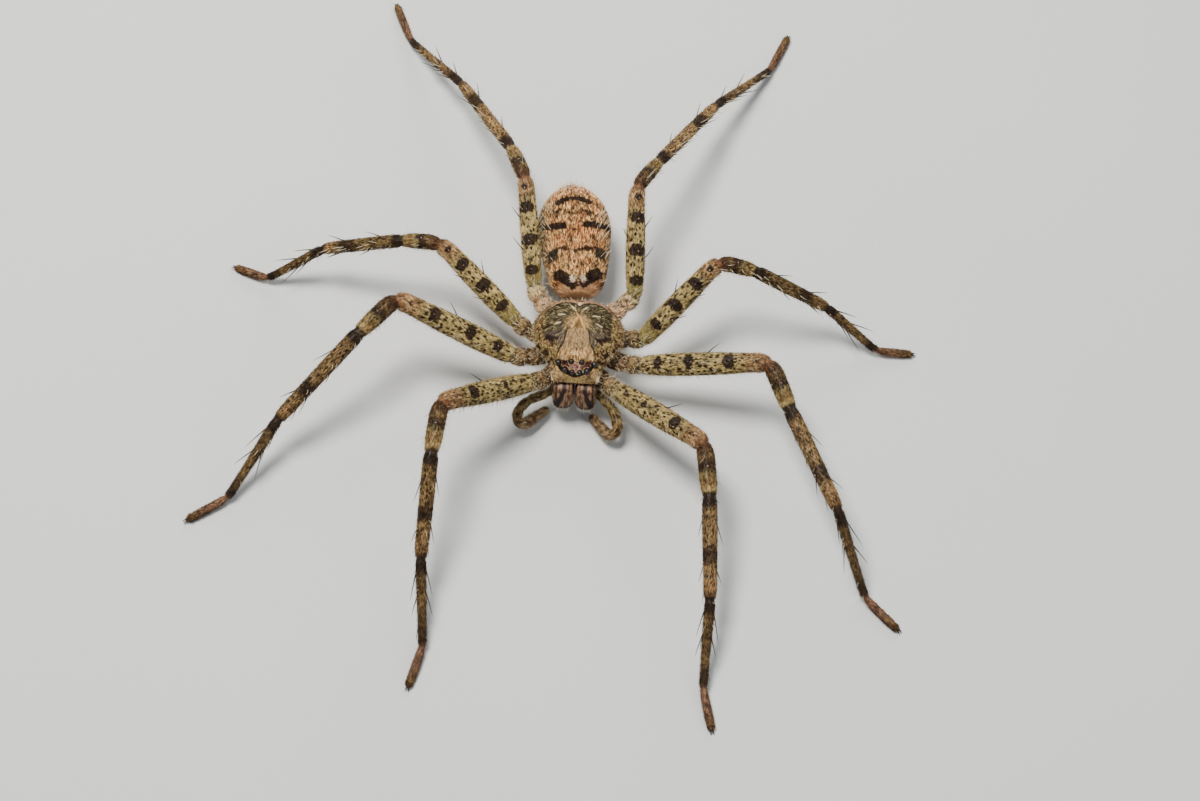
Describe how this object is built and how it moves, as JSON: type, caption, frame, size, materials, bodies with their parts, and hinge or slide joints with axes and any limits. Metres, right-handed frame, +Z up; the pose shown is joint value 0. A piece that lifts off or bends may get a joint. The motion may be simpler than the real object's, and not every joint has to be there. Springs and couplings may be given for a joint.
{
  "type": "huntsman spider model",
  "caption": "Life-size still huntsman spider standing with its legs spread, with spined leg segments, eyes, jaws, palps, carapace, abdomen and spinnerets.",
  "frame": {"origin": "on the floor under the middle of the model's footprint box", "axes": "+Z up from the floor; the spider faces -Y, its abdomen points to +Y and its left side is at +X"},
  "size_m": [0.0518, 0.0598, 0.0083],
  "materials": {
    "carapace": "mottled brown and cream cuticle with short flat hair and dark rays, satin",
    "sternum": "pale pinkish cream cuticle with white hair, satin",
    "abdomen": "short orange-brown and cream fur lying backwards, with dark marks",
    "spinneret": "pale brown cuticle with short hair",
    "chelicera": "pink-tan cuticle with dark stripes, satin",
    "fang": "near-black polished cuticle",
    "palp": "amber yellow cuticle with dark spots and fine hair",
    "eye": "black, polished",
    "femur": "cream-yellow cuticle with small dark dots and dark blotches, satin",
    "patella": "brown mottled cuticle with a pale far end, satin",
    "tibia": "brown mottled cuticle with black rings, satin",
    "metatarsus": "dark brown mottled cuticle with short hair",
    "tarsus": "reddish brown short hair with a pale claw tuft"
  },
  "bodies": {
    "root": {"carapace": "carapace", "sternum_coxae": "sternum", "abdomen": "abdomen", "pedicel": "sternum", "spinnerets": "spinneret", "chelicera_left": "chelicera", "fang_left": "fang", "palp_left": "palp", "eye_am_left": "eye", "eye_al_left": "eye", "eye_pm_left": "eye", "eye_pl_left": "eye", "leg1_left_femur": "femur", "leg1_left_patella": "patella", "leg1_left_tibia": "tibia", "leg1_left_metatarsus": "metatarsus", "leg1_left_tarsus": "tarsus", "leg2_left_femur": "femur", "leg2_left_patella": "patella", "leg2_left_tibia": "tibia", "leg2_left_metatarsus": "metatarsus", "leg2_left_tarsus": "tarsus", "leg3_left_femur": "femur", "leg3_left_patella": "patella", "leg3_left_tibia": "tibia", "leg3_left_metatarsus": "metatarsus", "leg3_left_tarsus": "tarsus", "leg4_left_femur": "femur", "leg4_left_patella": "patella", "leg4_left_tibia": "tibia", "leg4_left_metatarsus": "metatarsus", "leg4_left_tarsus": "tarsus", "chelicera_right": "chelicera", "fang_right": "fang", "palp_right": "palp", "eye_am_right": "eye", "eye_al_right": "eye", "eye_pm_right": "eye", "eye_pl_right": "eye", "leg1_right_femur": "femur", "leg1_right_patella": "patella", "leg1_right_tibia": "tibia", "leg1_right_metatarsus": "metatarsus", "leg1_right_tarsus": "tarsus", "leg2_right_femur": "femur", "leg2_right_patella": "patella", "leg2_right_tibia": "tibia", "leg2_right_metatarsus": "metatarsus", "leg2_right_tarsus": "tarsus", "leg3_right_femur": "femur", "leg3_right_patella": "patella", "leg3_right_tibia": "tibia", "leg3_right_metatarsus": "metatarsus", "leg3_right_tarsus": "tarsus", "leg4_right_femur": "femur", "leg4_right_patella": "patella", "leg4_right_tibia": "tibia", "leg4_right_metatarsus": "metatarsus", "leg4_right_tarsus": "tarsus"}
  },
  "joints": []
}
